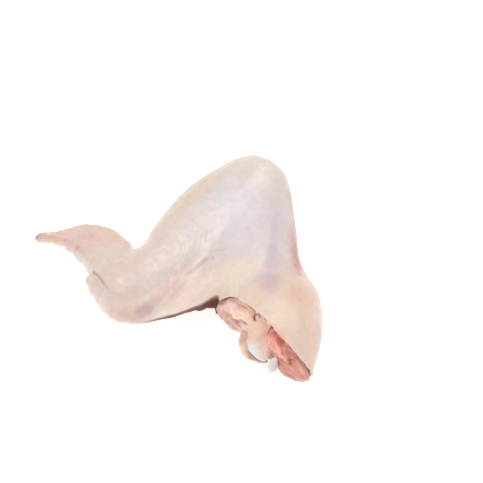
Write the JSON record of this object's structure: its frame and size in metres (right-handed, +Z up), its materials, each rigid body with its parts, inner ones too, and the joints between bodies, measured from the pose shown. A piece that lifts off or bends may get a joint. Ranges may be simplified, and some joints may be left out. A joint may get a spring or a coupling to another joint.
{
  "type": "raw chicken wing",
  "caption": "Raw whole chicken wing, folded: hand, forearm and upper arm under one skin with a web across the elbow, and a shoulder cut that shows muscle, fat and the bone's white head.",
  "frame": {"origin": "middle of the wing's footprint, on the surface it lies on", "axes": "+Z up; -X towards the tip of the hand; +Y towards the elbow; the shoulder cut faces -X -Y"},
  "size_m": [0.1152, 0.102, 0.0307],
  "materials": {
    "skin": "moist satin",
    "red_muscle": "wet",
    "pale_muscle": "wet",
    "fat": "moist satin",
    "cartilage": "moist gloss"
  },
  "bodies": {
    "root": {"skin": "skin", "muscle_outer": "red_muscle", "muscle_inner": "pale_muscle", "joint_fat": "fat", "humerus": "cartilage", "cartilage_scrap": "cartilage"}
  },
  "joints": []
}
